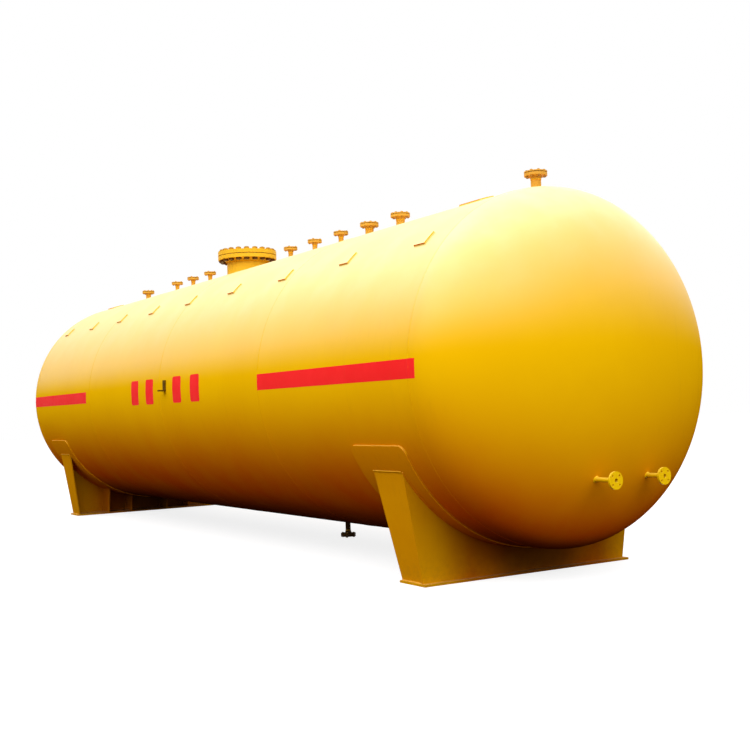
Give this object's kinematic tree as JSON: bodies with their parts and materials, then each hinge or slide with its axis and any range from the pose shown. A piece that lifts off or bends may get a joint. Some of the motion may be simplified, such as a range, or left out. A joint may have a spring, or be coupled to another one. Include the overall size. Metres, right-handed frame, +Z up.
{
  "type": "horizontal gas storage tank",
  "caption": "Horizontal cylindrical gas storage tank with dished ends on two welded saddles, with a bolted manhole and a row of blanked flanged nozzles along its top.",
  "frame": {"origin": "on the ground, under the middle of the shell", "axes": "+X along the vessel towards the head with the two low nozzles, +Y across it, +Z up"},
  "size_m": [12.116, 3.2, 3.574],
  "materials": {
    "yellow_paint": "gloss enamel with light weathering",
    "dark_paint": "dark worn paint",
    "gasket": "dark grey sheet packing"
  },
  "bodies": {
    "root": {"shell_course_1": "yellow_paint", "shell_course_2": "yellow_paint", "shell_course_3": "yellow_paint", "shell_course_4": "yellow_paint", "near_head": "yellow_paint", "far_head": "yellow_paint", "nozzle_1": "yellow_paint", "nozzle_2": "yellow_paint", "nozzle_3": "yellow_paint", "nozzle_4": "yellow_paint", "nozzle_5": "yellow_paint", "nozzle_6": "yellow_paint", "nozzle_7": "yellow_paint", "nozzle_8": "yellow_paint", "nozzle_9": "yellow_paint", "nozzle_10": "yellow_paint", "large_nozzle_covers": "yellow_paint", "medium_nozzle_cover": "yellow_paint", "small_nozzle_covers": "yellow_paint", "manhole_neck": "yellow_paint", "manhole_cover": "yellow_paint", "drain_nozzle": "yellow_paint", "drain_cover": "yellow_paint", "front_head_nozzle": "yellow_paint", "back_head_nozzle": "yellow_paint", "near_wear_plate": "yellow_paint", "near_saddle_web": "yellow_paint", "near_saddle_ribs": "yellow_paint", "near_base_plate": "yellow_paint", "far_wear_plate": "yellow_paint", "far_saddle_web": "yellow_paint", "far_saddle_ribs": "yellow_paint", "far_base_plate": "yellow_paint", "shoulder_pads": "yellow_paint", "lifting_pads": "yellow_paint", "gaskets": "gasket", "side_brackets": "dark_paint"}
  },
  "joints": []
}
